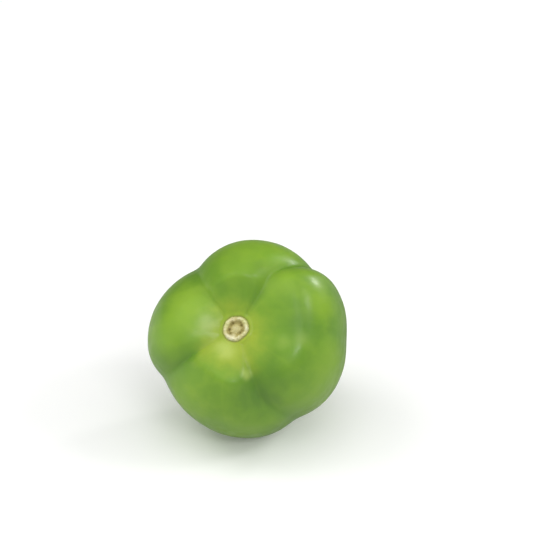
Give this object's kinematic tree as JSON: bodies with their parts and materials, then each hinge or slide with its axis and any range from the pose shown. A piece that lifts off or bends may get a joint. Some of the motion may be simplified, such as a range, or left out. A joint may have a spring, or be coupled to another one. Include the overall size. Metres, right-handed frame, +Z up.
{
  "type": "tomatillo",
  "caption": "Husked tomatillo fruit with broad rounded lobes and sharp creases round a sunken cork stem scar, resting tipped on a small flat spot.",
  "frame": {"origin": "on the table, under the middle of the fruit's bounding box", "axes": "+Z up from the table; the stem end faces -Y, raised about 40 degrees and turned about 13 degrees towards -X"},
  "size_m": [0.056, 0.0556, 0.0562],
  "materials": {
    "skin": "smooth waxy light-green skin with a soft gloss, yellower round the stem scar",
    "cork": "matt cream cork of the stem scar, brown in its moat"
  },
  "bodies": {
    "root": {"fruit": "skin"}
  },
  "joints": []
}
